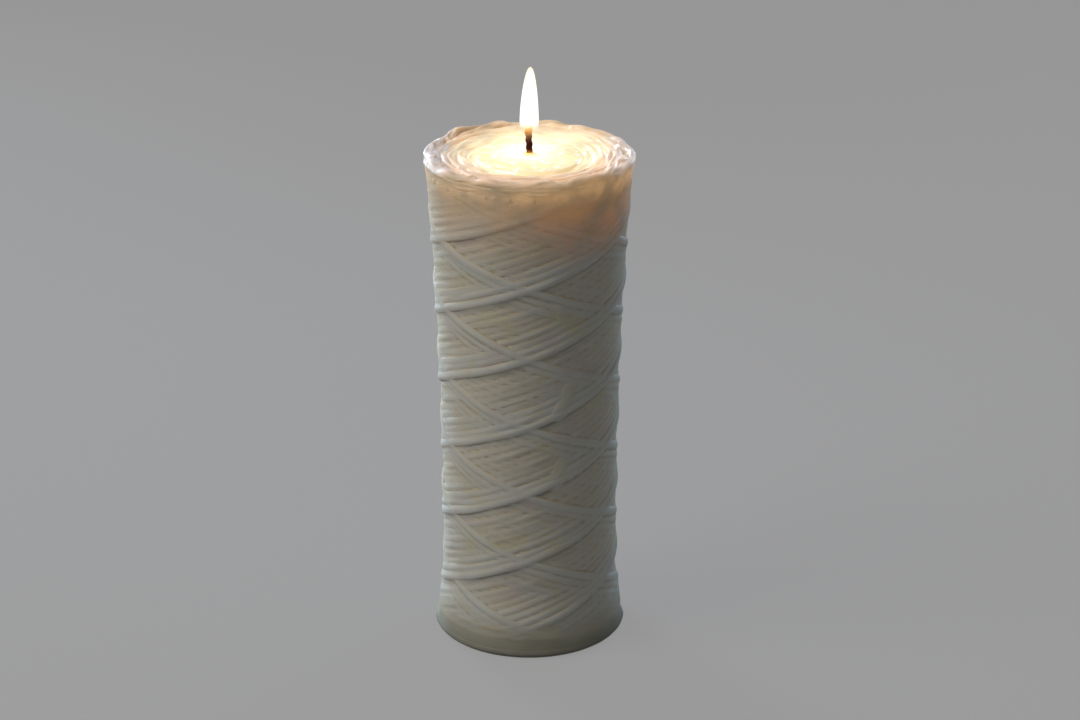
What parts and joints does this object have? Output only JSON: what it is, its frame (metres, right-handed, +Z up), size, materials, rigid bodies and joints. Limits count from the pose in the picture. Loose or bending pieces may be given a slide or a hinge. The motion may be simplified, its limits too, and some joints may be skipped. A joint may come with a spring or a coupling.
{
  "type": "pillar candle",
  "caption": "Lit wax pillar candle with a wall of cross-wound wax cords, a coiled rim round a melt pool, a wick with its flame and a smooth foot.",
  "frame": {"origin": "middle of the flat underside of the foot, on the table", "axes": "+Z up along the candle, -Y towards the front, +X to the right seen from the front"},
  "size_m": [0.0686, 0.0686, 0.1973],
  "materials": {
    "wax": "off-white wax, satin, slightly translucent",
    "melted_wax": "liquid wax, glossy, lit from the flame",
    "wick_cotton": "braided cotton, charred at its tip",
    "flame_glow": "glowing gas"
  },
  "bodies": {
    "root": {"foot": "wax", "core": "wax", "wick": "wick_cotton", "melt_pool": "melted_wax", "flame": "flame_glow", "rim_coil": "wax", "rising_cord_1_1": "wax", "rising_cord_1_2": "wax", "rising_cord_1_3": "wax", "rising_cord_1_4": "wax", "rising_cord_1_5": "wax", "rising_cord_2_1": "wax", "rising_cord_2_2": "wax", "rising_cord_2_3": "wax", "rising_cord_2_4": "wax", "rising_cord_2_5": "wax", "rising_cord_3_1": "wax", "rising_cord_3_2": "wax", "rising_cord_3_3": "wax", "rising_cord_3_4": "wax", "rising_cord_3_5": "wax", "falling_cord_1_1": "wax", "falling_cord_1_2": "wax", "falling_cord_1_3": "wax", "falling_cord_1_4": "wax", "falling_cord_1_5": "wax", "falling_cord_2_1": "wax", "falling_cord_2_2": "wax", "falling_cord_2_3": "wax", "falling_cord_2_4": "wax", "falling_cord_2_5": "wax", "falling_cord_3_1": "wax", "falling_cord_3_2": "wax", "falling_cord_3_3": "wax", "falling_cord_3_4": "wax", "falling_cord_3_5": "wax"}
  },
  "joints": []
}
